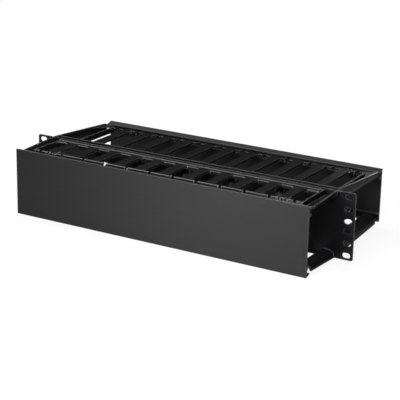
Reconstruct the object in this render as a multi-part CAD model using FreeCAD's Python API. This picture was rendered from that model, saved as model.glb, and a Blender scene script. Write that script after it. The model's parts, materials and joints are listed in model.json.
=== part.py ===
# Two-unit horizontal cable manager for a 19 inch rack.
# X runs along the rack width, +Y from the front cover to the rear cover, +Z up. Millimetres.
# The origin is the middle of the mounting panel's front face.
import FreeCAD, Part
import os
from math import cos, sin, radians, degrees, sqrt, asin

V = FreeCAD.Vector

# mounting panel
panelWidth = 482.6
panelHeight = 88.1
panelThick = 2.0
panelCornerRadius = 2.5
rackSpacing = 465.1
rackSlotLength = 11.0
rackSlotHeight = 7.0
rackSlotHeights = (6.35, 22.225, 38.1)
windowWidth = 64.0
windowHeight = 43.0
windowRadius = 6.0
windowCentres = (-120.0, -44.0, 44.0, 120.0)

# screws that clamp a front comb, the panel and a rear comb together
screwPlaces = (-138.0, -69.0, 0.0, 69.0, 138.0)
screwHeight = 26.0
holeDiameter = 4.5
screwDiameter = 4.0
screwHeadDiameter = 7.6
screwHeadHeight = 2.6
screwTail = 1.2
recessWidth = 0.9
recessLength = 4.2
recessDepth = 1.4
washerDiameter = 8.0
washerThick = 0.8
nutAcrossFlats = 7.0
nutHeight = 3.2

# finger pattern shared by the four combs
slotCount = 12
slotPitch = 34.5
slotWidth = 21.0
tipGap = 4.5
plateThick = 3.3
edgeRounding = 0.8
coreDepth = 1.1
sideWall = 1.8
tipLipThick = 2.0
tipRounding = 3.0
rootLipHalfWidth = 7.0
rootLipThick = 2.2
rootLipDrop = 5.0

# end fingers: a wall, a flat crown and a quarter round that ends in a rim
combHalfWidth = 216.5
endFingerInner = 199.0
endFingerTurn = 208.0
finHeightLeast = 0.2
shellThick = 2.0
collarRise = 0.7
collarDepth = 1.5

# flange against the panel, with a tab at each screw
flangeThick = 2.6
flangeRounding = 1.2
tabWidth = 12.0
tabBelowScrew = 4.4
gussetThick = 1.6
gussetReach = 4.5

# hinge fingers
stationFinger = 172.5
stationRibs = 4
ribPitch = 4.6
ribThick = 1.6
ribSetBack = 20.0
stationNotch = 2.8

# hinge, measured from the axis of the round noses
noseRadius = 3.2
hookBore = 3.7
hookThick = 2.0
hookEndAngle = 80.0
neckAngle = 55.0
neckThick = 1.6
swingRadius = 6.9
tipClearance = 8.6

# covers, measured from the outer face and from the long edges
faceThick = 2.3
axisBehindFace = 7.25
axisFromEdge = 8.0
lipFromEdge = 2.4
lipThick = 2.0
lipReach = 9.85
hookRootFromEdge = 15.5
coverEdgeRounding = 1.0

# each duct: depths start at the panel face that its combs stand on
frontDuct = dict(
    faceDepth=80.65, halfHeight=45.45, halfWidth=217.45, plate=43.6, crown=34.2, flangeEdge=38.5,
    rimStart=43.9, rimLevelTo=4.0, rimEnd=41.2, armDepth=4.4, tipLipEdge=39.5,
)
rearDuct = dict(
    faceDepth=139.44, halfHeight=37.03, halfWidth=215.8, plate=33.7, crown=25.0, flangeEdge=28.0,
    rimStart=44.0, rimLevelTo=8.4, rimEnd=35.7, armDepth=7.6, tipLipEdge=29.8,
)
frontUpperRoot = 15.4
frontLowerRoot = flangeThick
rearRoot = 20.0
upperRootRadius = 4.0
lowerRootRadius = 1.0

# raised bead on the front upper comb and upright rib on the rear combs
beadPlace = 7.0
beadRadius = 1.6
beadRise = 0.7
beadHalfLength = 199.5
uprightPlace = 8.0
uprightThick = 2.4
uprightTop = 44.0
tipWebLength = 44.0
tipWebThick = 1.6


def roundedWire(corners, lift=0.0):
    """A closed wire through (x, y, radius) corners, with each corner rounded by its radius."""
    ends = []
    count = len(corners)
    for i, (x, y, radius) in enumerate(corners):
        here = V(x, y, lift)
        if radius == 0:
            ends.append((here, None, here))
            continue
        before = V(corners[i - 1][0], corners[i - 1][1], lift)
        after = V(corners[(i + 1) % count][0], corners[(i + 1) % count][1], lift)
        back = (before - here).normalize()
        ahead = (after - here).normalize()
        half = back.getAngle(ahead) / 2
        run = radius * cos(half) / sin(half)
        bulge = here + (back + ahead).normalize() * (radius / sin(half) - radius)
        ends.append((here + back * run, bulge, here + ahead * run))
    edges = []
    for i, (start, bulge, end) in enumerate(ends):
        if bulge is not None:
            edges.append(Part.Arc(start, bulge, end).toShape())
        following = ends[(i + 1) % count][0]
        if (following - end).Length > 1e-6:
            edges.append(Part.LineSegment(end, following).toShape())
    return Part.Wire(edges)


def rectangle(x0, x1, y0, y1, radius=0.0):
    return [(x0, y0, radius), (x1, y0, radius), (x1, y1, radius), (x0, y1, radius)]


def prism(corners, low, high):
    """The outline in X and depth, raised from one height to another."""
    return Part.Face(roundedWire(corners, low)).extrude(V(0, 0, high - low))


def alongX(wire, x0, x1):
    """A section drawn as depth and height, stood up across X and run from x0 to x1."""
    face = Part.Face(wire)
    face.rotate(V(0, 0, 0), V(1, 1, 1), 120)
    face.translate(V(x0, 0, 0))
    return face.extrude(V(x1 - x0, 0, 0))


def axisPlace(duct):
    """Depth and height of the hinge axis at the upper long edge."""
    return duct["faceDepth"] - axisBehindFace, duct["halfHeight"] - axisFromEdge


def tipDepth(duct):
    """Where the fingers stop, so that the cover's edge swings past them."""
    return axisPlace(duct)[0] - tipClearance


def polar(duct, radius, angle):
    """A point round the hinge axis. Angle 0 looks back to the panel, 90 looks outward."""
    depth, height = axisPlace(duct)
    return V(depth - radius * cos(radians(angle)), height + radius * sin(radians(angle)), 0)


def slotOutline(duct, root, rootRadius):
    """One cable slot: wide between two fingers, narrow between their T-shaped tips."""
    wide = slotWidth / 2
    narrow = tipGap / 2
    shoulder = tipDepth(duct) - duct["armDepth"]
    beyond = tipDepth(duct) + 5
    return [
        (-wide, root, rootRadius), (wide, root, rootRadius), (wide, shoulder, 2.2), (narrow, shoulder, 1.4),
        (narrow, beyond, 0), (-narrow, beyond, 0), (-narrow, shoulder, 1.4), (-wide, shoulder, 2.2),
    ]


def slotCentres():
    first = -slotPitch * (slotCount - 1) / 2
    return [first + i * slotPitch for i in range(slotCount)]


def fingerPlate(duct, root, rootRadius):
    """The slotted plate between the end fingers, with rounded outer edges."""
    outer = duct["plate"]
    inner = outer - plateThick
    reach = endFingerInner + shellThick / 2
    end = tipDepth(duct) - tipRounding
    plate = prism(rectangle(-reach, reach, 0, end), inner, outer)
    slot = prism(slotOutline(duct, root, rootRadius), inner - 1, outer + 1)
    plate = plate.cut([slot.translated(V(x, 0, 0)) for x in slotCentres()])
    rounded = []
    for edge in plate.Edges:
        box = edge.BoundBox
        inside = box.XMin > -reach + 0.01 and box.XMax < reach - 0.01 and 0.01 < box.YMin < end - 0.01
        if inside and box.ZMin > outer - 0.01:
            rounded.append(edge)
    return plate.makeFillet(edgeRounding, rounded)


def fingerCores(duct, root):
    """Hollows under the fingers that leave a rib along each of their sides."""
    low = duct["plate"] - plateThick - 1
    half = (slotPitch - slotWidth) / 2 - sideWall
    end = tipDepth(duct) - duct["armDepth"] - sideWall
    core = prism(rectangle(-half, half, root + sideWall, end, 1.5), low, low + 1 + coreDepth)
    return [core.translated(V(slotPitch * (i - slotCount / 2), 0, 0)) for i in range(1, slotCount)]


def tipLips(duct):
    """The ends of the T-shaped tips: rounded over, with a turned-in lip, and open at every slot."""
    tip = tipDepth(duct)
    top = duct["plate"]
    edge = duct["tipLipEdge"]
    inner = top - plateThick
    section = roundedWire([
        (tip - tipRounding, top, 0), (tip, top, tipRounding), (tip, edge, 0.6), (tip - tipLipThick, edge, 0.6),
        (tip - tipLipThick, inner, 0), (tip - tipRounding, inner, 0),
    ])
    centres = slotCentres()
    starts = [-endFingerInner] + [x + tipGap / 2 for x in centres]
    ends = [x - tipGap / 2 for x in centres] + [endFingerInner]
    return [alongX(section, x0, x1) for x0, x1 in zip(starts, ends)]


def rootSeats(duct, root):
    """What the rounded lips take out of the plate at each slot's inner end."""
    low = duct["plate"] - plateThick - 1
    outline = rectangle(-rootLipHalfWidth, rootLipHalfWidth, root - rootLipThick, root + 1)
    seat = prism(outline, low, duct["plate"] + 1)
    return [seat.translated(V(x, 0, 0)) for x in slotCentres()]


def rootLips(duct, root):
    """A lip at each slot's inner end, rounded over and turned into the duct."""
    outer = duct["plate"]
    section = roundedWire([
        (root - rootLipThick, outer, 0), (root, outer, rootLipThick - 0.01),
        (root, outer - rootLipDrop, 1.0), (root - rootLipThick, outer - rootLipDrop, 1.0),
    ])
    lip = alongX(section, -rootLipHalfWidth, rootLipHalfWidth)
    return [lip.translated(V(x, 0, 0)) for x in slotCentres()]


def endSection(duct, rim, depth, grow=0.0):
    """Cross-section of an end finger: wall, flat crown, quarter round and a fin up to the rim."""
    crown = duct["crown"]
    floor = crown + shellThick
    top = duct["plate"]
    wall = endFingerInner
    reach = combHalfWidth - endFingerTurn
    shoulder = crown + min(reach, rim - crown - finHeightLeast)

    def at(x, height):
        return V(x, depth, height)

    def quarter(extent, low):
        part = sin(radians(45))
        middle = at(endFingerTurn + extent * part, shoulder - (shoulder - low) * part)
        return Part.Arc(at(endFingerTurn, low), middle, at(endFingerTurn + extent, shoulder)).toShape()

    corners = [
        at(endFingerTurn + reach - shellThick, shoulder), at(endFingerTurn + reach - shellThick, rim),
        at(endFingerTurn + reach + grow, rim), at(endFingerTurn + reach + grow, shoulder),
    ]
    edges = [Part.LineSegment(a, b).toShape() for a, b in zip(corners, corners[1:])]
    corners = [
        at(endFingerTurn, floor), at(wall + shellThick, floor), at(wall + shellThick, top), at(wall, top),
        at(wall, crown - grow + 1.2), at(wall + 1.2, crown - grow), at(endFingerTurn, crown - grow),
    ]
    edges += [Part.LineSegment(a, b).toShape() for a, b in zip(corners, corners[1:])]
    edges += [quarter(reach + grow, crown - grow), quarter(reach - shellThick, floor)]
    return Part.Wire(Part.__sortEdges__(edges))


def endFingers(duct):
    """Both end fingers. The rim runs level from the panel and then falls towards the cover."""
    level = duct["rimLevelTo"]
    start = endSection(duct, duct["rimStart"], 0)
    bend = endSection(duct, duct["rimStart"], level)
    end = endSection(duct, duct["rimEnd"], tipDepth(duct))
    collar = Part.Face(endSection(duct, duct["rimStart"], 0, collarRise)).extrude(V(0, collarDepth, 0))
    right = Part.makeLoft([start, bend], True, True).fuse([Part.makeLoft([bend, end], True, True), collar])
    return [right, right.mirror(V(0, 0, 0), V(1, 0, 0))]


def mountingFlange(duct):
    """The flange against the panel, with a rounded tab and two gussets at each screw."""
    joint = duct["plate"] - plateThick + 1
    section = roundedWire([
        (0, joint, 0), (0, duct["flangeEdge"], 0), (flangeThick, duct["flangeEdge"], flangeRounding),
        (flangeThick, joint, 0),
    ])
    pieces = [alongX(section, -endFingerInner, endFingerInner)]
    half = tabWidth / 2
    for x in screwPlaces:
        low = screwHeight - tabBelowScrew
        outline = [(x - half, low, 4.0), (x + half, low, 4.0), (x + half, joint, 0), (x - half, joint, 0)]
        tab = prism(outline, 0, flangeThick)
        tab.rotate(V(0, 0, 0), V(1, 0, 0), 90)
        pieces.append(tab.translated(V(0, flangeThick, 0)))
    return pieces


def flangeGussets(duct):
    """Small braces between the flange tabs and the finger plate."""
    joint = duct["plate"] - plateThick + 1
    brace = Part.makePolygon([
        V(1, joint, 0), V(1, duct["flangeEdge"] - 3, 0), V(flangeThick, duct["flangeEdge"] - 3, 0),
        V(flangeThick + gussetReach, joint - 1.6, 0), V(flangeThick + gussetReach, joint, 0), V(1, joint, 0),
    ])
    offset = (tabWidth - gussetThick) / 2
    middles = [x + side * offset for x in screwPlaces for side in (-1, 1)]
    return [alongX(brace, x - gussetThick / 2, x + gussetThick / 2) for x in middles]


def screwHoles():
    hole = Part.makeCylinder(holeDiameter / 2, 4 * flangeThick, V(0, -flangeThick, screwHeight), V(0, 1, 0))
    return [hole.translated(V(x, 0, 0)) for x in screwPlaces]


def ribSection(duct):
    """One hinge rib: a round nose in the cover's channel, a neck, and a body on the finger."""
    depth, height = axisPlace(duct)
    top = duct["plate"] - edgeRounding
    front = depth - tipClearance
    spreadOut = degrees(asin(neckThick / 2 / swingRadius))
    spreadIn = degrees(asin(neckThick / 2 / noseRadius))
    part = tipRounding * (1 - sin(radians(45)))
    corners = [
        polar(duct, noseRadius, -neckAngle - spreadIn), polar(duct, tipClearance, -neckAngle - spreadOut),
        V(depth - ribSetBack, duct["plate"] - plateThick + 0.5, 0), V(depth - ribSetBack, top, 0),
        V(front - tipRounding, top, 0),
    ]
    edges = [Part.LineSegment(a, b).toShape() for a, b in zip(corners, corners[1:])]
    arcs = [
        (V(front - tipRounding, top, 0), V(front - part, top - part, 0), V(front, top - tipRounding, 0)),
        [polar(duct, swingRadius, a) for a in (0, -neckAngle / 2, spreadOut - neckAngle)],
        [polar(duct, noseRadius, a) for a in (spreadIn - neckAngle, 180 - neckAngle, -neckAngle - spreadIn)],
    ]
    edges += [Part.Arc(a, b, c).toShape() for a, b, c in arcs]
    edges.append(Part.LineSegment(V(front, top - tipRounding, 0), polar(duct, swingRadius, 0)).toShape())
    neck = [polar(duct, swingRadius, spreadOut - neckAngle), polar(duct, noseRadius, spreadIn - neckAngle)]
    edges.append(Part.LineSegment(*neck).toShape())
    return Part.Wire(Part.__sortEdges__(edges))


def hingeRibs(duct):
    """Four ribs at each of the two hinge fingers."""
    section = ribSection(duct)
    ribs = []
    for side in (-1, 1):
        for i in range(stationRibs):
            middle = side * stationFinger + (i - (stationRibs - 1) / 2) * ribPitch
            ribs.append(alongX(section, middle - ribThick / 2, middle + ribThick / 2))
    return ribs


def stationNotches(duct):
    """Set-backs in the plate's end between the hinge ribs."""
    tip = tipDepth(duct)
    half = ribPitch * (stationRibs - 1) / 2 + ribThick
    low = duct["tipLipEdge"] - 1
    notches = []
    for x in (-stationFinger, stationFinger):
        outline = rectangle(x - half, x + half, tip - stationNotch, tip + 2)
        notches.append(prism(outline, low, duct["plate"] + 1))
    return notches


def rootBead(duct):
    """The raised bead across the base strip of the front upper comb."""
    height = duct["plate"] + beadRise - beadRadius
    return Part.makeCylinder(beadRadius, 2 * beadHalfLength, V(-beadHalfLength, beadPlace, height), V(1, 0, 0))


def uprightRib(duct):
    """The upright rib behind the panel that ties the two end rims of a rear comb."""
    half = combHalfWidth - shellThick / 2
    low = duct["plate"] - plateThick
    far = uprightPlace + uprightThick
    section = roundedWire([
        (uprightPlace, low, 0), (far, low, 0), (far, uprightTop, 0.9), (uprightPlace, uprightTop, 0.9),
    ])
    return alongX(section, -half, half)


def tipWebs(duct):
    """Slanted three-cornered webs that close the end fingers of a rear comb at their tips."""
    tip = tipDepth(duct)
    fall = (duct["rimStart"] - duct["rimEnd"]) / (tip - duct["rimLevelTo"])
    outside = combHalfWidth - shellThick / 2
    corners = [
        V(endFingerInner + shellThick / 2, tip, duct["plate"]), V(outside, tip, duct["rimEnd"]),
        V(outside, tip - tipWebLength, duct["rimEnd"] + fall * tipWebLength),
    ]
    web = Part.Face(Part.makePolygon(corners + corners[:1])).extrude(V(0, 0, -tipWebThick))
    return [web, web.mirror(V(0, 0, 0), V(1, 0, 0))]


def comb(duct, root, rootRadius, seats, extras):
    """A whole comb in its own frame: depth along +Y from the panel, upper side of the duct."""
    notches = stationNotches(duct)
    plate = fingerPlate(duct, root, rootRadius).cut(fingerCores(duct, root) + notches + seats)
    tips = [tip.cut(notches) for tip in tipLips(duct)]
    additions = tips + endFingers(duct) + mountingFlange(duct) + flangeGussets(duct) + hingeRibs(duct)
    return plate.fuse(additions + extras).cut(screwHoles()).removeSplitter()


def placed(shape, front, upper):
    """Move a shape drawn for the rear upper quarter into its own quarter of the product."""
    if front:
        result = shape.mirror(V(0, 0, 0), V(0, 1, 0))
    else:
        result = shape.translated(V(0, panelThick, 0))
    return result if upper else result.mirror(V(0, 0, 0), V(0, 0, 1))


def channelEdges(duct, side):
    """The section's outline along one long edge: rounded rim, lip and curled hook."""
    depth, height = axisPlace(duct)
    face = duct["faceDepth"]
    inside = face - faceThick
    top = duct["halfHeight"]
    lip = top - lipFromEdge
    reach = face - lipReach
    hookOuter = hookBore + hookThick
    soft = coverEdgeRounding
    rim = soft * (1 - sin(radians(45)))
    edges = []

    def flip(p):
        return V(p.x, side * p.y, 0)

    def line(*points):
        edges.extend(Part.LineSegment(flip(a), flip(b)).toShape() for a, b in zip(points, points[1:]))

    def arc(a, b, c):
        edges.append(Part.Arc(flip(a), flip(b), flip(c)).toShape())

    line(V(face, 0, 0), V(face, top - soft, 0))
    arc(V(face, top - soft, 0), V(face - rim, top - rim, 0), V(face - soft, top, 0))
    free = reach + lipThick / 2
    rise = (top - lip) * (inside - free) / (face - soft - free)
    line(V(face - soft, top, 0), V(free, lip, 0))
    arc(V(free, lip, 0), V(reach, lip - lipThick / 2, 0), V(free, lip - lipThick, 0))
    line(V(free, lip - lipThick, 0), V(inside, lip - lipThick + rise, 0), V(inside, height + 1.2, 0))
    line(V(inside, height + 1.2, 0), polar(duct, hookBore, 180))
    arc(polar(duct, hookBore, 180), polar(duct, hookBore, 230), polar(duct, hookBore, -hookEndAngle))
    arc(
        polar(duct, hookBore, -hookEndAngle),
        polar(duct, hookBore + hookThick / 2, -hookEndAngle + degrees(asin(0.5 / (hookBore + hookThick / 2)))),
        polar(duct, hookOuter, -hookEndAngle),
    )
    arc(polar(duct, hookOuter, -hookEndAngle), polar(duct, hookOuter, -98), polar(duct, hookOuter, -120))
    line(polar(duct, hookOuter, -120), V(inside, top - hookRootFromEdge, 0), V(inside, 0, 0))
    return edges


def cover(duct):
    """A whole cover, the same section from end to end."""
    edges = channelEdges(duct, 1) + channelEdges(duct, -1)
    half = duct["halfWidth"]
    return alongX(Part.Wire(Part.__sortEdges__(edges)), -half, half).removeSplitter()


def mountingPanel():
    """The steel panel with rack slots, cable windows and screw holes."""
    half = panelWidth / 2
    tall = panelHeight / 2
    plate = prism(rectangle(-half, half, -tall, tall, panelCornerRadius), 0, panelThick)
    cutters = []

    def cutOut(x, z, width, height, radius):
        outline = rectangle(x - width / 2, x + width / 2, z - height / 2, z + height / 2, radius)
        cutters.append(prism(outline, -1, panelThick + 1))

    for x in (-rackSpacing / 2, rackSpacing / 2):
        for height in rackSlotHeights:
            for z in (-height, height):
                cutOut(x, z, rackSlotLength, rackSlotHeight, rackSlotHeight / 2 - 0.01)
    for x in windowCentres:
        cutOut(x, 0, windowWidth, windowHeight, windowRadius)
    for x in screwPlaces:
        for z in (-screwHeight, screwHeight):
            cutters.append(Part.makeCylinder(holeDiameter / 2, panelThick + 2, V(x, z, -1)))
    plate = plate.cut(cutters)
    plate.rotate(V(0, 0, 0), V(1, 0, 0), 90)
    return plate.translated(V(0, panelThick, 0))


def screwSites(shape):
    """A fastener drawn on the Y axis, copied to every screw place."""
    places = [(x, z) for x in screwPlaces for z in (-screwHeight, screwHeight)]
    return Part.makeCompound([shape.translated(V(x, 0, z)) for x, z in places])


def combScrew():
    """Pan-head machine screw with a cross recess, its head in the front duct."""
    seat = -flangeThick
    crown = seat - screwHeadHeight
    radius = screwHeadDiameter / 2
    length = 2 * flangeThick + panelThick + washerThick + nutHeight + screwTail
    head = roundedWire([(0, seat, 0), (radius, seat, 0), (radius, crown, 1.3), (0, crown, 0)])
    solid = Part.Face(head).revolve(V(0, 0, 0), V(0, 1, 0), 360)
    shank = Part.makeCylinder(screwDiameter / 2, length, V(0, seat, 0), V(0, 1, 0))
    start = V(-recessLength / 2, crown - 0.1, -recessWidth / 2)
    bar = Part.makeBox(recessLength, recessDepth, recessWidth, start)
    cross = bar.copy()
    cross.rotate(V(0, 0, 0), V(0, 1, 0), 90)
    return solid.fuse(shank).cut([bar, cross])


def combWasher():
    start = panelThick + flangeThick
    disc = Part.makeCylinder(washerDiameter / 2, washerThick, V(0, start, 0), V(0, 1, 0))
    return disc.cut(Part.makeCylinder(screwDiameter / 2, 2, V(0, start - 0.5, 0), V(0, 1, 0)))


def combNut():
    start = panelThick + flangeThick + washerThick
    radius = nutAcrossFlats / sqrt(3)
    ring = [V(radius * cos(radians(60 * i)), start, radius * sin(radians(60 * i))) for i in range(7)]
    nut = Part.Face(Part.makePolygon(ring)).extrude(V(0, nutHeight, 0))
    bore = Part.makeCylinder(screwDiameter / 2, nutHeight + 2, V(0, start - 1, 0), V(0, 1, 0))
    return nut.cut(bore)


def save(name, shape):
    os.makedirs("parts", exist_ok=True)
    shape.exportStep("parts/" + name + ".step")
    print(name, "solids", len(shape.Solids), "valid", shape.isValid(), "volume", round(shape.Volume))


def main():
    save("mounting_panel", mountingPanel())
    seats = rootSeats(frontDuct, frontUpperRoot)
    extras = rootLips(frontDuct, frontUpperRoot) + [rootBead(frontDuct)]
    frontUpper = comb(frontDuct, frontUpperRoot, upperRootRadius, seats, extras)
    frontLower = comb(frontDuct, frontLowerRoot, lowerRootRadius, [], [])
    seats = rootSeats(rearDuct, rearRoot)
    extras = rootLips(rearDuct, rearRoot) + [uprightRib(rearDuct)] + tipWebs(rearDuct)
    rear = comb(rearDuct, rearRoot, upperRootRadius, seats, extras)
    save("front_upper_comb", placed(frontUpper, True, True))
    save("front_lower_comb", placed(frontLower, True, False))
    save("rear_upper_comb", placed(rear, False, True))
    save("rear_lower_comb", placed(rear, False, False))
    save("front_cover", placed(cover(frontDuct), True, True))
    save("rear_cover", placed(cover(rearDuct), False, True))
    save("comb_screws", screwSites(combScrew()))
    save("comb_washers", screwSites(combWasher()))
    save("comb_nuts", screwSites(combNut()))


main()
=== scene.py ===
import json
import math

import bpy
import bmesh
from mathutils import Matrix, Vector


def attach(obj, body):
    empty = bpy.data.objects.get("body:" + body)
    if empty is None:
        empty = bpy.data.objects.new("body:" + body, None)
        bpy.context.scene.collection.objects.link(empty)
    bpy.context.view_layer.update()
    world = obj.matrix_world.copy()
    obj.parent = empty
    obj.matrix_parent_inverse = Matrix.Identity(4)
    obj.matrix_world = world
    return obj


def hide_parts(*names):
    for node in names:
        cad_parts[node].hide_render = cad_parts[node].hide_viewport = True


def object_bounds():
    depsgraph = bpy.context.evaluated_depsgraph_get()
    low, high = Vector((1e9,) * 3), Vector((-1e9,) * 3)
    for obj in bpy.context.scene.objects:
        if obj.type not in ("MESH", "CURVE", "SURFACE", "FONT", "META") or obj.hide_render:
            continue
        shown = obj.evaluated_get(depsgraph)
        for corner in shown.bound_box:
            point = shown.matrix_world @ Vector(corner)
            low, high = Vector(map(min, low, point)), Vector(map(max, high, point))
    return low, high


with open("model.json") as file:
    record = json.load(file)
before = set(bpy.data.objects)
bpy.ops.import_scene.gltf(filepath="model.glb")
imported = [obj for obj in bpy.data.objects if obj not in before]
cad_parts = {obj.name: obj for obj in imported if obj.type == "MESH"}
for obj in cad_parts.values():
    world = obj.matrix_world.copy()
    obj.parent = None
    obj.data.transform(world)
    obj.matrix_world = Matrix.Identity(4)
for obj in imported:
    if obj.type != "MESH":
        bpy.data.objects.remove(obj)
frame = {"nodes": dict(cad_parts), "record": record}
lowCorner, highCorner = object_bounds()
mm = 0.001
print("frame loaded with", len(frame["nodes"]), "nodes")


def addObject(name, data):
    thing = bpy.data.objects.new(name, data)
    bpy.context.scene.collection.objects.link(thing)
    return thing


# node trees: a Wire holds one output socket, and sums on Wires add Math nodes

class Wire:
    def __init__(self, graph, socket):
        self.graph = graph
        self.socket = socket

    def __add__(self, other):
        return self.graph.maths("ADD", self, other)

    def __radd__(self, other):
        return self.graph.maths("ADD", other, self)

    def __sub__(self, other):
        return self.graph.maths("SUBTRACT", self, other)

    def __rsub__(self, other):
        return self.graph.maths("SUBTRACT", other, self)

    def __mul__(self, other):
        return self.graph.maths("MULTIPLY", self, other)

    def __rmul__(self, other):
        return self.graph.maths("MULTIPLY", other, self)

    def __truediv__(self, other):
        return self.graph.maths("DIVIDE", self, other)

    def __rtruediv__(self, other):
        return self.graph.maths("DIVIDE", other, self)


class Graph:
    def __init__(self, tree):
        self.tree = tree

    def add(self, kind, settings=None, inputs=None, output=0):
        node = self.tree.nodes.new(kind)
        for key, value in (settings or {}).items():
            if key == "stops":
                self.setStops(node.color_ramp, value)
            else:
                setattr(node, key, value)
        for key, value in (inputs or {}).items():
            for one in value if isinstance(value, list) else [value]:
                if isinstance(one, Wire):
                    self.tree.links.new(one.socket, node.inputs[key])
                else:
                    node.inputs[key].default_value = one
        return Wire(self, node.outputs[output]) if len(node.outputs) else node

    def setStops(self, colourRamp, stops):
        while len(colourRamp.elements) < len(stops):
            colourRamp.elements.new(0.5)
        for element, (position, value) in zip(colourRamp.elements, stops):
            element.position = position
            element.color = (value, value, value, 1)

    def maths(self, operation, first, second=0.0):
        return self.add("ShaderNodeMath", {"operation": operation}, {0: first, 1: second})

    def along(self, axis, vector):
        return self.add("ShaderNodeSeparateXYZ", {}, {0: vector}, axis)

    def ramp(self, factor, stops):
        return self.add("ShaderNodeValToRGB", {"stops": stops}, {0: factor})

    def mixColour(self, factor, first, second):
        return self.add("ShaderNodeMix", {"data_type": "RGBA"}, {0: factor, 6: first, 7: second}, 2)


class Finish(Graph):
    # a material on Object coordinates
    def __init__(self, name):
        self.material = bpy.data.materials.new(name)
        self.material.use_nodes = True
        super().__init__(self.material.node_tree)
        self.tree.nodes.clear()

    def noise(self, place, scale, detail=3.0, roughness=0.55):
        inputs = {"Vector": place, "Scale": scale, "Detail": detail, "Roughness": roughness}
        return self.add("ShaderNodeTexNoise", {}, inputs, "Fac")

    def scratches(self, place, scale, width):
        # thin lines along the borders of stretched cells
        inputs = {"Vector": place, "Scale": scale}
        border = self.add("ShaderNodeTexVoronoi", {"feature": "DISTANCE_TO_EDGE"}, inputs, "Distance")
        return self.ramp(border, [(0.0, 1.0), (width, 0.0)])

    def place(self, stretch=(1, 1, 1), turn=0.0):
        spot = self.add("ShaderNodeTexCoord", {}, {}, "Object")
        inputs = {"Vector": spot, "Scale": stretch, "Rotation": (turn, turn, turn)}
        return self.add("ShaderNodeMapping", {}, inputs, "Vector")

    def softNormal(self, radius):
        return self.add("ShaderNodeBevel", {"samples": 6}, {"Radius": radius}, "Normal")

    def edges(self, soft):
        # 1 where the softened normal leaves the plain one, so along edges, and 0 on open faces
        plain = self.add("ShaderNodeNewGeometry", {}, {}, "Normal")
        settings = {"operation": "DOT_PRODUCT"}
        alike = self.add("ShaderNodeVectorMath", settings, {0: soft, 1: plain}, "Value")
        return self.ramp(1 - alike, [(0.005, 0.0), (0.10, 1.0)])

    def rims(self, soft):
        # 1 where a top turns into a side and doesn't face right: cables rub these slopes shiny
        settings = {"vector_type": "NORMAL", "convert_from": "WORLD", "convert_to": "OBJECT"}
        turned = self.add("ShaderNodeVectorTransform", settings, {0: soft})
        slope = self.ramp(self.along("Z", turned), [(0.20, 0.0), (0.42, 1.0), (0.86, 1.0), (0.97, 0.0)])
        return slope * self.ramp(self.along("X", turned), [(0.10, 1.0), (0.45, 0.0)])

    def upward(self):
        # 1 on level tops, where dust settles
        normal = self.add("ShaderNodeNewGeometry", {}, {}, "Normal")
        return self.ramp(self.along("Z", normal), [(0.6, 0.0), (0.95, 1.0)])

    def bump(self, height, depth, normal):
        inputs = {"Strength": 1.0, "Distance": depth, "Height": height, "Normal": normal}
        return self.add("ShaderNodeBump", {}, inputs, "Normal")

    def surface(self, values):
        self.output(self.add("ShaderNodeBsdfPrincipled", {}, values, "BSDF"))
        return self.material

    def output(self, shader):
        self.add("ShaderNodeOutputMaterial", {}, {"Surface": shader})


# finishes

combPlastic = {
    "colour": (0.0085, 0.0085, 0.0090, 1), "flow": (0.0115, 0.0115, 0.0118, 1),
    # the light grey for edges is a painted highlight
    "paintedHighlight": (0.400, 0.400, 0.401, 1), "edgeBlend": 0.85, "dust": (0.040, 0.039, 0.037, 1), "dustiness": 0.12,
    "roughness": 0.34, "gloss": 0.02, "rimShine": 1.0, "rimRoughness": 0.18,
    "grainSize": 0.30 * mm, "grainDepth": 0.008 * mm, "edgeRadius": 0.75 * mm,
}


def makeCombPlastic():
    v = combPlastic
    s = Finish("comb_plastic_look")
    place = s.place()
    grain = s.noise(place, 1 / v["grainSize"], 2.0)
    flow = s.noise(s.place((1, 0.25, 1)), 30.0, 4.0)
    patches = s.noise(place, 55.0, 5.0, 0.65)
    soft = s.softNormal(v["edgeRadius"])
    edge = s.edges(soft) * s.ramp(s.noise(place, 260.0), [(0.30, 0.35), (0.60, 1.0)])
    settled = s.upward() * s.ramp(patches, [(0.50, 0.0), (0.80, 0.5)])
    colour = s.mixColour(flow, v["colour"], v["flow"])
    # painted highlight: a light grey mixed into the colour along edges, in place of light the rounded
    # edges catch
    colour = s.mixColour(edge * v["edgeBlend"], colour, v["paintedHighlight"])
    colour = s.mixColour(settled * v["dustiness"], colour, v["dust"])
    rough = v["roughness"] + (patches - 0.5) * 0.14 + (flow - 0.5) * 0.08 + settled * 0.12
    shine = s.rims(soft) * s.ramp(patches, [(0.30, 0.7), (0.65, 1.0)]) * v["rimShine"]
    normal = s.bump(grain, v["grainDepth"], soft)
    return s.surface({
        "Base Color": colour, "Roughness": rough, "Specular IOR Level": v["gloss"],
        "Coat Weight": shine, "Coat Roughness": v["rimRoughness"], "Normal": normal,
    })


coverPlastic = {
    "colour": (0.0250, 0.0250, 0.0256, 1), "streak": (0.0284, 0.0284, 0.0285, 1),
    # the light grey for edges is a painted highlight
    "paintedHighlight": (0.320, 0.320, 0.321, 1), "edgeBlend": 0.7,
    "roughness": 0.42, "gloss": 0.16, "rimShine": 0.22, "rimRoughness": 0.25,
    "grainSize": 0.40 * mm, "grainDepth": 0.006 * mm, "edgeRadius": 0.8 * mm,
}


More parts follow.
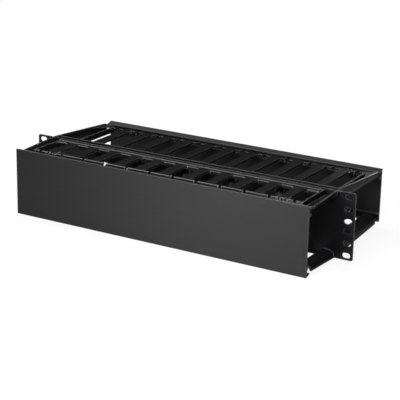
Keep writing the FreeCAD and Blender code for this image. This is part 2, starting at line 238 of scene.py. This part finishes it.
def makeCoverPlastic():
    v = coverPlastic
    s = Finish("cover_plastic_look")
    place = s.place()
    drawn = s.noise(s.place((0.5, 14, 14)), 24.0, 4.0)
    grain = s.noise(place, 1 / v["grainSize"], 2.0)
    smudge = s.noise(place, 12.0, 4.0)
    scuff = s.scratches(s.place((6, 40, 40), 0.35), 3.0, 0.012)
    scuff = scuff * s.ramp(smudge, [(0.52, 0.0), (0.70, 0.4)])
    soft = s.softNormal(v["edgeRadius"])
    edge = s.edges(soft) * s.ramp(s.noise(place, 90.0), [(0.35, 0.5), (0.65, 1.0)])
    colour = s.mixColour(s.ramp(drawn, [(0.35, 0.0), (0.70, 1.0)]), v["colour"], v["streak"])
    # painted highlight: a light grey mixed into the colour along edges, in place of light the rounded
    # edges catch
    colour = s.mixColour(edge * v["edgeBlend"], colour, v["paintedHighlight"])
    rough = v["roughness"] + (drawn - 0.5) * 0.08 + (smudge - 0.5) * 0.10 - scuff * 0.10
    shine = s.rims(soft) * v["rimShine"]
    normal = s.bump(grain + drawn * 0.7, v["grainDepth"], soft)
    return s.surface({
        "Base Color": colour, "Roughness": rough, "Specular IOR Level": v["gloss"],
        "Coat Weight": shine, "Coat Roughness": v["rimRoughness"], "Normal": normal,
    })


panelPaint = {
    "colour": (0.0072, 0.0072, 0.0084, 1), "fleck": (0.0110, 0.0110, 0.0122, 1),
    # the light grey for edges is a painted highlight
    "paintedHighlight": (0.420, 0.420, 0.422, 1), "edgeBlend": 0.65, "roughness": 0.40, "gloss": 0.17,
    "peelSize": 1.1 * mm, "peelDepth": 0.022 * mm, "edgeRadius": 0.8 * mm,
    "halfWidth": highCorner[0], "halfHeight": 44.05 * mm,
}


def makePanelPaint():
    v = panelPaint
    s = Finish("panel_paint_look")
    place = s.place()
    peel = s.noise(place, 1 / v["peelSize"], 1.5)
    fleck = s.noise(place, 5 / v["peelSize"], 1.0)
    cloud = s.noise(place, 18.0, 3.0)
    soft = s.softNormal(v["edgeRadius"])
    # the painted highlight keeps to the panel's outline, away from its holes
    across = s.maths("ABSOLUTE", s.along("X", place)) / v["halfWidth"]
    height = s.maths("ABSOLUTE", s.along("Z", place)) / v["halfHeight"]
    outer = s.ramp(s.maths("MAXIMUM", across, height), [(0.975, 0.12), (0.985, 1.0)])
    edge = s.edges(soft) * outer * s.ramp(s.noise(place, 150.0), [(0.35, 0.45), (0.65, 1.0)])
    colour = s.mixColour(s.ramp(fleck, [(0.45, 0.0), (0.70, 1.0)]), v["colour"], v["fleck"])
    # painted highlight: a light grey mixed into the colour along the outer edges, in place of light they
    # catch
    colour = s.mixColour(edge * v["edgeBlend"], colour, v["paintedHighlight"])
    rough = v["roughness"] + (peel - 0.5) * 0.16 + (cloud - 0.5) * 0.10
    normal = s.bump(peel + fleck * 0.3, v["peelDepth"], soft)
    return s.surface({
        "Base Color": colour, "Roughness": rough, "Specular IOR Level": v["gloss"], "Normal": normal,
    })


zincSteel = {
    "colour": (0.16, 0.16, 0.165, 1), "bright": (0.42, 0.42, 0.43, 1), "edgeBlend": 0.6,
    "roughness": 0.34, "grainDepth": 0.008 * mm, "edgeRadius": 0.25 * mm,
}


def makeZincSteel():
    v = zincSteel
    s = Finish("zinc_steel_look")
    place = s.place()
    cloud = s.noise(place, 480.0, 4.0)
    soft = s.softNormal(v["edgeRadius"])
    colour = s.mixColour(s.ramp(cloud, [(0.4, 0.0), (0.7, 0.35)]), v["colour"], v["bright"])
    colour = s.mixColour(s.edges(soft) * v["edgeBlend"], colour, v["bright"])
    rough = v["roughness"] + (cloud - 0.5) * 0.25
    normal = s.bump(cloud, v["grainDepth"], soft)
    return s.surface({"Base Color": colour, "Metallic": 1.0, "Roughness": rough, "Normal": normal})


looks = {
    "comb_plastic": makeCombPlastic(),
    "cover_plastic": makeCoverPlastic(),
    "panel_paint": makePanelPaint(),
    "screw_steel": makeZincSteel(),
}
slotOf = {part["node"]: part["material_slot"] for part in frame["record"]["subparts"]}
bodyOf = {}
for body, members in frame["record"]["behaviour"]["bodies"].items():
    for node in members:
        bodyOf[node] = body
for node, piece in frame["nodes"].items():
    piece.data.materials.clear()
    piece.data.materials.append(looks[slotOf[node]])
print("materials made:", ", ".join(sorted(looks)))


# the panel and the covers get real rounded edges

softEdges = {
    "mounting_panel": {"piece": "painted_panel", "round": 0.35 * mm, "sharpFrom": 40, "steps": 2},
    "front_cover": {"piece": "front_cover_shell", "round": 0.30 * mm, "sharpFrom": 40, "steps": 2},
    "rear_cover": {"piece": "rear_cover_shell", "round": 0.30 * mm, "sharpFrom": 40, "steps": 2},
}
mergeDistance = 0.001 * mm
flatWithin = 0.5  # degrees between faces that count as one


def settle(piece):
    # the evaluated shape becomes a plain mesh, and the modifiers go
    evaluated = piece.evaluated_get(bpy.context.evaluated_depsgraph_get())
    mesh = bpy.data.meshes.new_from_object(evaluated)
    mesh.name = piece.name
    piece.modifiers.clear()
    piece.data = mesh
    return piece


def fitPiece(piece, node):
    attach(piece, bodyOf[node])
    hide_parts(node)
    print(piece.name, "stands for", node, "with", len(piece.data.polygons), "faces")


def soften(node, values):
    mesh = frame["nodes"][node].data.copy()
    work = bmesh.new()
    work.from_mesh(mesh)
    bmesh.ops.remove_doubles(work, verts=work.verts, dist=mergeDistance)
    flatAngle = math.radians(flatWithin)
    bmesh.ops.dissolve_limit(work, angle_limit=flatAngle, verts=work.verts, edges=work.edges)
    work.to_mesh(mesh)
    work.free()
    mesh.shade_smooth()
    piece = addObject(values["piece"], mesh)
    rounding = piece.modifiers.new("rounding", "BEVEL")
    rounding.width = values["round"]
    rounding.segments = values["steps"]
    rounding.limit_method = "ANGLE"
    rounding.angle_limit = math.radians(values["sharpFrom"])
    rounding.use_clamp_overlap = False
    steady = piece.modifiers.new("steady", "WEIGHTED_NORMAL")  # large faces stay flat beside their rounds
    steady.mode = "FACE_AREA"
    steady.weight = 100
    fitPiece(settle(piece), node)


for node, values in softEdges.items():
    soften(node, values)


# pieces grown from a pattern: sizes are named inputs of a Geometry Nodes tree

class Pattern(Graph):
    def __init__(self, name, sizes):
        super().__init__(bpy.data.node_groups.new(name + "_pattern", "GeometryNodeTree"))
        self.name = name
        self.sizes = sizes
        self.sockets = {}
        for label in sizes:
            self.sockets[label] = self.tree.interface.new_socket(
                name=label, in_out="INPUT", socket_type="NodeSocketFloat")
        self.tree.interface.new_socket(name="Geometry", in_out="OUTPUT", socket_type="NodeSocketGeometry")
        self.entry = self.tree.nodes.new("NodeGroupInput")

    def size(self, label):
        return Wire(self, self.entry.outputs[label])

    def vector(self, x, y, z):
        return self.add("ShaderNodeCombineXYZ", {}, {0: x, 1: y, 2: z})

    def drum(self, sides, radius, low, high, levels=1, rings=1):
        # a closed cylinder on the z axis between two heights
        inputs = {"Vertices": sides, "Side Segments": levels, "Fill Segments": rings}
        inputs.update({"Radius": radius, "Depth": high - low})
        drum = self.add("GeometryNodeMeshCylinder", {}, inputs)
        return self.moved(drum, self.vector(0.0, 0.0, (high + low) * 0.5))

    def moved(self, shape, offset):
        return self.add("GeometryNodeTransform", {}, {0: shape, 1: offset})

    def cut(self, shape, *tools):
        settings = {"operation": "DIFFERENCE", "solver": "EXACT"}
        return self.add("GeometryNodeMeshBoolean", settings, {0: shape, 1: list(tools)})

    def shared(self, *shapes):
        settings = {"operation": "INTERSECT", "solver": "EXACT"}
        return self.add("GeometryNodeMeshBoolean", settings, {1: list(shapes)})

    def joined(self, *shapes):
        return self.add("GeometryNodeJoinGeometry", {}, {0: list(shapes)})

    def grown(self, shape, material):
        whole = self.add("GeometryNodeRealizeInstances", {}, {0: shape})
        finished = self.add("GeometryNodeSetMaterial", {}, {0: whole, 2: material})
        self.add("NodeGroupOutput", {}, {0: finished})
        piece = addObject(self.name, bpy.data.meshes.new(self.name))
        modifier = piece.modifiers.new("pattern", "NODES")
        modifier.node_group = self.tree
        for label, value in self.sizes.items():
            modifier[self.sockets[label].identifier] = value
        return settle(piece)


screwPlaces = {"Row Length": 276.0 * mm, "Row Gap": 52.0 * mm}
screwCount = {"along": 5, "rows": 2}


def atScrewPlaces(g, shape):
    # one at each screw place, with the shape's z axis turned to the front
    inputs = {0: g.size("Row Length"), 1: g.size("Row Gap"), 2: screwCount["along"], 3: screwCount["rows"]}
    grid = g.add("GeometryNodeMeshGrid", {}, inputs)
    placed = g.add("GeometryNodeInstanceOnPoints", {}, {0: grid, 2: shape})
    return g.add("GeometryNodeTransform", {}, {0: placed, 2: (math.pi / 2, 0, 0)})


panScrew = {
    "Head Radius": 3.8 * mm, "Head Height": 2.6 * mm, "Head Taper": 0.20, "Crown": 0.55 * mm,
    "Cross Length": 4.2 * mm, "Cross Slot": 0.9 * mm, "Cross Depth": 1.4 * mm,
    "Thread Radius": 2.0 * mm, "Thread Depth": 0.34 * mm, "Thread Pitch": 0.7 * mm,
    "Seat": 2.6 * mm, "Tip": -9.8 * mm, "Shank Overlap": 0.3 * mm,
}
screwDetail = {"headSides": 28, "headLevels": 5, "headRings": 4, "shankSides": 20, "turnSteps": 16}


def makeScrews():
    g = Pattern("pan_head_screws", {**panScrew, **screwPlaces})
    v = screwDetail
    seat = g.size("Seat")
    radius = g.size("Head Radius")
    height = g.size("Head Height")
    drum = g.drum(v["headSides"], radius, 0.0, height, v["headLevels"], v["headRings"])
    spot = g.add("GeometryNodeInputPosition")
    x = g.along("X", spot)
    y = g.along("Y", spot)
    z = g.along("Z", spot)
    # the head narrows and its top falls away from the middle
    rise = z / height
    taper = 1 - rise * rise * rise * g.size("Head Taper")
    spread = (x * x + y * y) / (radius * radius)
    crowned = seat + z - rise * spread * g.size("Crown")
    head = g.add("GeometryNodeSetPosition", {}, {0: drum, 2: g.vector(x * taper, y * taper, crowned)})
    top = g.vector(0.0, 0.0, seat + height)
    length = g.size("Cross Length")
    width = g.size("Cross Slot")
    depth = g.size("Cross Depth") * 2
    bars = [g.vector(length, width, depth), g.vector(width, length, depth)]
    head = g.cut(head, *[g.moved(g.add("GeometryNodeMeshCube", {}, {0: bar}), top) for bar in bars])
    core = g.size("Thread Radius") - g.size("Thread Depth")
    shank = g.drum(v["shankSides"], core, g.size("Tip"), seat + g.size("Shank Overlap"))
    run = seat - g.size("Tip") - g.size("Thread Pitch")
    inputs = {
        "Resolution": v["turnSteps"], "Rotations": run / g.size("Thread Pitch"),
        "Start Radius": core, "End Radius": core, "Height": run,
    }
    helix = g.add("GeometryNodeCurveSpiral", {}, inputs)
    helix = g.add("GeometryNodeSetCurveNormal", {"mode": "Z_UP"}, {0: helix})
    inputs = {"Resolution": 3, "Radius": g.size("Thread Depth")}
    profile = g.add("GeometryNodeCurvePrimitiveCircle", {}, inputs)
    thread = g.add("GeometryNodeCurveToMesh", {}, {0: helix, 1: profile, "Fill Caps": True})
    thread = g.moved(thread, g.vector(0.0, 0.0, g.size("Tip") + g.size("Thread Pitch") * 0.5))
    return g.grown(atScrewPlaces(g, g.joined(head, shank, thread)), looks["screw_steel"])


plainWasher = {
    "Outer Radius": 4.0 * mm, "Hole Radius": 2.15 * mm, "Low Face": -5.4 * mm, "High Face": -4.6 * mm,
    "Corner Share": 0.18,
}
washerDetail = {"sides": 36}


def makeWashers():
    g = Pattern("plain_washers", {**plainWasher, **screwPlaces})
    outer = g.size("Outer Radius")
    hole = g.size("Hole Radius")
    thickness = g.size("High Face") - g.size("Low Face")
    inputs = {"Resolution": washerDetail["sides"], "Radius": (outer + hole) * 0.5}
    ring = g.add("GeometryNodeCurvePrimitiveCircle", {}, inputs)
    section = g.add("GeometryNodeCurvePrimitiveQuadrilateral", {}, {0: outer - hole, 1: thickness})
    inputs = {"Curve": section, "Radius": thickness * g.size("Corner Share")}
    section = g.add("GeometryNodeFilletCurve", {}, inputs)
    washer = g.add("GeometryNodeCurveToMesh", {}, {0: ring, 1: section})
    middle = (g.size("High Face") + g.size("Low Face")) * 0.5
    washer = g.moved(washer, g.vector(0.0, 0.0, middle))
    return g.grown(atScrewPlaces(g, washer), looks["screw_steel"])


hexNut = {
    "Corner Radius": 4.0415 * mm, "Hole Radius": 2.06 * mm, "Low Face": -8.6 * mm, "High Face": -5.4 * mm,
    "Bore Overrun": 1.0 * mm, "Ball Size": 1.04, "Ball Height": 0.74,
}
nutDetail = {"ballSides": 36, "ballRings": 20, "boreSides": 24}


def makeNuts():
    g = Pattern("hex_nuts", {**hexNut, **screwPlaces})
    v = nutDetail
    low = g.size("Low Face")
    high = g.size("High Face")
    corner = g.size("Corner Radius")
    block = g.drum(6, corner, low, high)
    # a flattened ball takes off the corners
    inputs = {"Segments": v["ballSides"], "Rings": v["ballRings"], "Radius": corner * g.size("Ball Size")}
    ball = g.add("GeometryNodeMeshUVSphere", {}, inputs)
    middle = g.vector(0.0, 0.0, (low + high) * 0.5)
    squat = g.vector(1.0, 1.0, g.size("Ball Height"))
    ball = g.add("GeometryNodeTransform", {}, {0: ball, 1: middle, 3: squat})
    overrun = g.size("Bore Overrun")
    bore = g.drum(v["boreSides"], g.size("Hole Radius"), low - overrun, high + overrun)
    return g.grown(atScrewPlaces(g, g.cut(g.shared(block, ball), bore)), looks["screw_steel"])


makers = {"comb_screws": makeScrews, "comb_washers": makeWashers, "comb_nuts": makeNuts}
sharpAngle = 32  # degrees from which a fastener's edge is drawn sharp
for node, maker in makers.items():
    piece = maker()
    piece.data.shade_smooth()
    piece.data.set_sharp_from_angle(angle=math.radians(sharpAngle))
    fitPiece(piece, node)


# floor, lights and camera

studio = {
    "floorSize": 60.0, "floorColour": (0.34, 0.34, 0.35, 1), "floorSeen": (0.95, 0.95, 0.95, 1),
    "shadowDepth": 0.12, "shadowReach": 0.9, "shadowFull": 0.45,
    "skyBack": (0.030, 0.032, 0.036, 1), "skyFront": (0.035, 0.036, 0.040, 1), "skyBand": 0.05,
}
white = (1, 1, 1, 1)


def seenRays(graph, glossyShare=1.0):
    # 1 for camera and transmission rays, glossyShare for reflections, else 0
    camera = graph.add("ShaderNodeLightPath", {}, {}, "Is Camera Ray")
    through = graph.add("ShaderNodeLightPath", {}, {}, "Is Transmission Ray")
    shine = graph.add("ShaderNodeLightPath", {}, {}, "Is Glossy Ray") * glossyShare
    return graph.maths("MAXIMUM", graph.maths("MAXIMUM", camera, through), shine)


def makeFloor():
    size = studio["floorSize"] / 2
    low = lowCorner[2]
    mesh = bpy.data.meshes.new("studio_floor")
    corners = [(-size, -size, low), (size, -size, low), (size, size, low), (-size, size, low)]
    mesh.from_pydata(corners, [], [(0, 1, 2, 3)])
    floor = addObject("studio_floor", mesh)
    s = Finish("studio_floor_look")
    away = s.add("ShaderNodeVectorMath", {"operation": "LENGTH"}, {0: s.place()}, "Value")
    seen = seenRays(s)
    colour = s.mixColour(seen, studio["floorColour"], studio["floorSeen"])
    lit = s.add("ShaderNodeBsdfDiffuse", {}, {"Color": colour}, "BSDF")
    glow = s.add("ShaderNodeEmission", {}, {"Color": white, "Strength": 1.0}, "Emission")
    stops = [(studio["shadowFull"], studio["shadowDepth"]), (1.0, 0.0)]
    shade = s.ramp(away / studio["shadowReach"], stops)
    s.output(s.add("ShaderNodeMixShader", {}, {0: seen * (1 - shade), 1: lit, 2: glow}, "Shader"))
    mesh.materials.append(s.material)


def makeSky():
    # seen as white, in reflections only low down; as light it is a dim room, brighter in front
    world = bpy.data.worlds.new("studio_sky")
    world.use_nodes = True
    g = Graph(world.node_tree)
    g.tree.nodes.clear()
    direction = g.add("ShaderNodeTexCoord", {}, {}, "Generated")
    low = g.ramp(g.along("Z", direction), [(0.0, 1.0), (studio["skyBand"], 0.0)])
    front = g.ramp(0.5 - g.along("Y", direction) * 0.5, [(0.30, 0.0), (0.95, 1.0)])
    colour = g.mixColour(front, studio["skyBack"], studio["skyFront"])
    room = g.add("ShaderNodeBackground", {}, {"Color": colour})
    bright = g.add("ShaderNodeBackground", {}, {"Color": white})
    mixed = g.add("ShaderNodeMixShader", {}, {0: seenRays(g, low), 1: room, 2: bright})
    g.add("ShaderNodeOutputWorld", {}, {"Surface": mixed})
    bpy.context.scene.world = world


# glow is the strength of a lamp's face, and spread is in degrees
lamps = {
    "overhead": {
        "at": (-0.75, 0.20, 1.25), "aim": (0.0, 0.0, 0.0), "size": (0.60, 1.60),
        "glow": 7.6, "spread": 180.0, "colour": (1.0, 1.0, 1.0),
    },
    "key": {
        "at": (0.09, -0.42, 0.17), "aim": (0.09, -0.08, 0.0), "size": (0.20, 0.20),
        "glow": 5.5, "spread": 106.0, "colour": (1.0, 0.985, 0.95),
    },
    "side": {
        "at": (0.40, -0.42, 0.55), "aim": (0.28, -0.25, -0.04), "size": (0.30, 0.30),
        "glow": 12.0, "spread": 180.0, "colour": (0.96, 0.98, 1.0),
    },
    "front": {
        "at": (0.20, -1.20, 0.70), "aim": (0.0, 0.0, 0.0), "size": (0.60, 0.60),
        "glow": 0.3, "spread": 180.0, "colour": (0.95, 0.97, 1.0),
    },
    "rear": {
        "at": (0.05, 1.10, 0.10), "aim": (0.0, 0.1, 0.0), "size": (0.50, 0.50),
        "glow": 9.0, "spread": 180.0, "colour": (1.0, 1.0, 1.0),
    },
}


def makeLamps():
    for name, lamp in lamps.items():
        data = bpy.data.lights.new("lamp_" + name, "AREA")
        data.shape = "RECTANGLE"
        data.size, data.size_y = lamp["size"]
        data.energy = lamp["glow"] * math.pi * data.size * data.size_y
        data.spread = math.radians(lamp["spread"])
        data.color = lamp["colour"]
        light = addObject("lamp_" + name, data)
        light.location = lamp["at"]
        light.visible_camera = False
        towards = Vector(lamp["aim"]) - Vector(lamp["at"])
        light.rotation_euler = towards.to_track_quat("-Z", "Y").to_euler()


view = {
    "azimuth": 30.32, "elevation": 18.09, "roll": 1.24, "distance": 1.74698,
    "aim": (0.02083, 0.00033, -0.00437), "lens": 120.1, "sensor": 36.0, "farthest": 100.0,
}


def makeCamera():
    azimuth = math.radians(view["azimuth"])
    elevation = math.radians(view["elevation"])
    level = math.cos(elevation)
    away = Vector((math.sin(azimuth) * level, -math.cos(azimuth) * level, math.sin(elevation)))
    data = bpy.data.cameras.new("main_camera")
    data.lens = view["lens"]
    data.sensor_width = view["sensor"]
    data.clip_end = view["farthest"]
    camera = addObject("main_camera", data)
    roll = Matrix.Rotation(math.radians(view["roll"]), 4, "Z")
    turn = away.to_track_quat("Z", "Y").to_matrix().to_4x4() @ roll
    camera.matrix_world = Matrix.Translation(Vector(view["aim"]) + away * view["distance"]) @ turn
    bpy.context.scene.camera = camera


makeFloor()
makeSky()
makeLamps()
makeCamera()
bpy.context.scene.view_settings.view_transform = "Standard"
print("floor, sky, lamps and camera placed")
